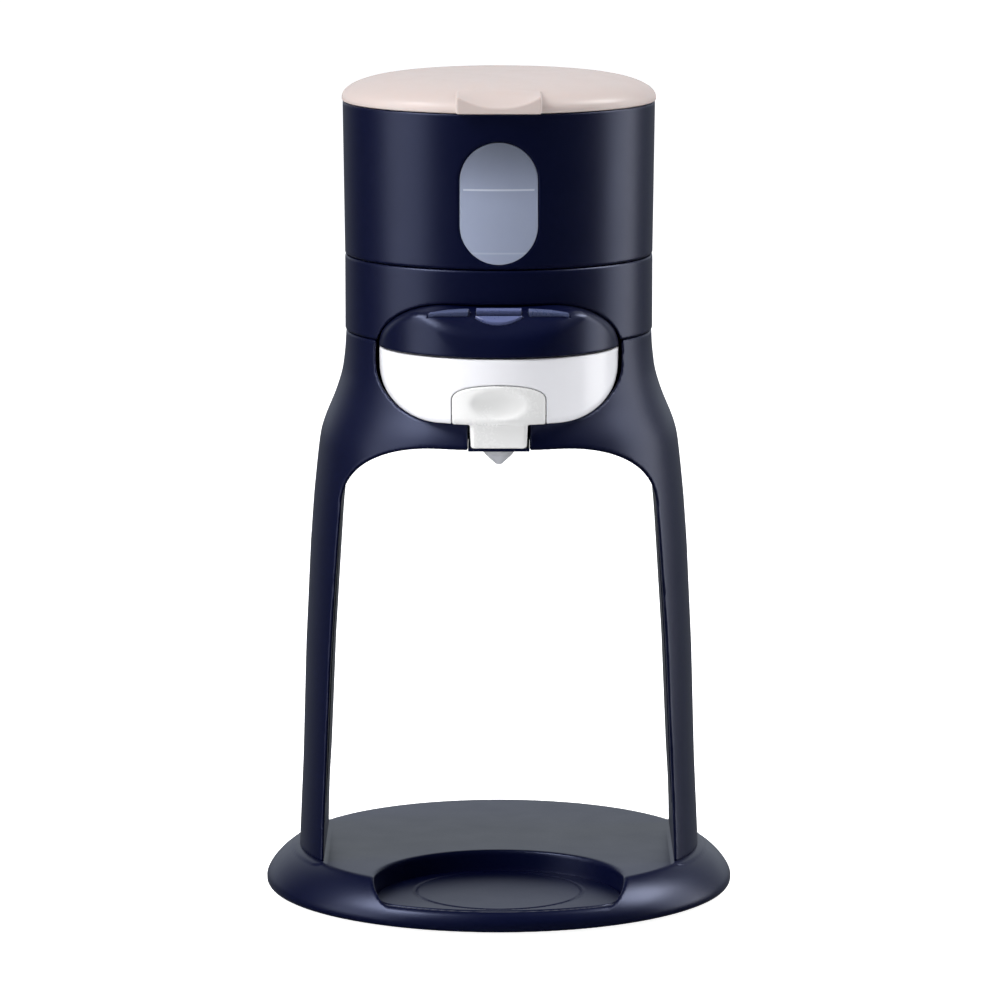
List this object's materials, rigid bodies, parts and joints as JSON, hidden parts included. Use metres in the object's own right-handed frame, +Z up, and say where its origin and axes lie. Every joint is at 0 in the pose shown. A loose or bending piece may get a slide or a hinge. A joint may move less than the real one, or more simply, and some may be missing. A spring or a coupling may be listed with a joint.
{
  "type": "formula dispenser",
  "caption": "Table-top formula dispenser: lift-off water tank over a heated mixing head with a pull-out drawer and nozzle, on a two-leg arch above a round base.",
  "frame": {"origin": "centre of the round base on the table plane", "axes": "+Z up, front of the machine to -Y, +X to the right seen from the front"},
  "size_m": [0.19, 0.19, 0.334],
  "materials": {
    "navy": "satin",
    "blush": "satin",
    "white": "gloss",
    "smoke": "gloss",
    "frosted": "satin",
    "silicone": "satin",
    "grey_plastic": "satin",
    "black_plastic": "matte",
    "rubber": "matte",
    "steel": "satin",
    "alloy": "satin",
    "brass": "satin",
    "circuit": "satin",
    "ceramic": "matte",
    "cable": "matte"
  },
  "bodies": {
    "stand": {"base_tray": "navy", "base_cover": "navy", "ballast_plate": "steel", "rubber_feet": "rubber", "base_screws": "steel", "leg_bolts": "steel", "stand_frame": "navy", "leg_cover_left": "navy", "leg_cover_right": "navy", "drawer_rails": "grey_plastic", "head_housing": "navy", "head_screws": "steel", "control_hood": "navy", "splash_plate": "grey_plastic", "display_window": "smoke", "control_board": "circuit", "tact_switches": "black_plastic", "display_module": "black_plastic", "heater_block": "alloy", "thermal_fuse": "ceramic", "temperature_sensor": "steel", "pump_body": "black_plastic", "pump_mounts": "rubber", "inlet_hose": "silicone", "outlet_hose": "silicone", "spray_hose": "silicone", "hose_clips": "steel", "spray_head": "white", "power_board": "circuit", "power_inlet": "black_plastic", "inlet_pins": "brass", "wiring_harness": "cable", "tank_coupling": "grey_plastic", "coupling_seal": "rubber"},
    "bottle_plate": {"bottle_rest": "navy"},
    "start_key": {"start_button": "smoke"},
    "left_key": {"left_button": "smoke"},
    "right_key": {"right_button": "smoke"},
    "tank": {"tank_shell": "navy", "tank_vessel": "frosted", "lid_hinge_pin": "steel", "valve_spring": "steel"},
    "valve": {"valve_poppet": "white", "valve_seal": "rubber"},
    "lid": {"lid": "blush", "lid_gasket": "silicone"},
    "drawer": {"drawer_body": "white", "spout_grip": "white", "nozzle_plate": "navy", "nozzle": "silicone"}
  },
  "joints": [
    {"name": "plate_lift", "type": "slide", "parent": "stand", "child": "bottle_plate", "axis": [0, 0, 1], "range_m": [0, 0.03]},
    {"name": "start_press", "type": "slide", "parent": "stand", "child": "start_key", "axis": [0, 0.5446, -0.8387], "range_m": [0, 0.0006]},
    {"name": "left_press", "type": "slide", "parent": "stand", "child": "left_key", "axis": [0, 0.5446, -0.8387], "range_m": [0, 0.0006]},
    {"name": "right_press", "type": "slide", "parent": "stand", "child": "right_key", "axis": [0, 0.5446, -0.8387], "range_m": [0, 0.0006]},
    {"name": "tank_lift", "type": "slide", "parent": "stand", "child": "tank", "axis": [0, 0, 1], "range_m": [0, 0.05]},
    {"name": "valve_stroke", "type": "slide", "parent": "tank", "child": "valve", "axis": [0, 0, -1], "range_m": [0, 0.003], "deforming": ["valve_spring"]},
    {"name": "lid_hinge", "type": "hinge", "parent": "tank", "child": "lid", "pos_m": [0, 0.0665, 0.321], "axis": [-1, 0, 0], "range_deg": [0, 100]},
    {"name": "drawer_slide", "type": "slide", "parent": "stand", "child": "drawer", "axis": [0, -1, 0], "range_m": [0, 0.055]}
  ],
  "couplings": [
    {"joint": "valve_stroke", "follows": "tank_lift", "ratio": 0.06}
  ]
}
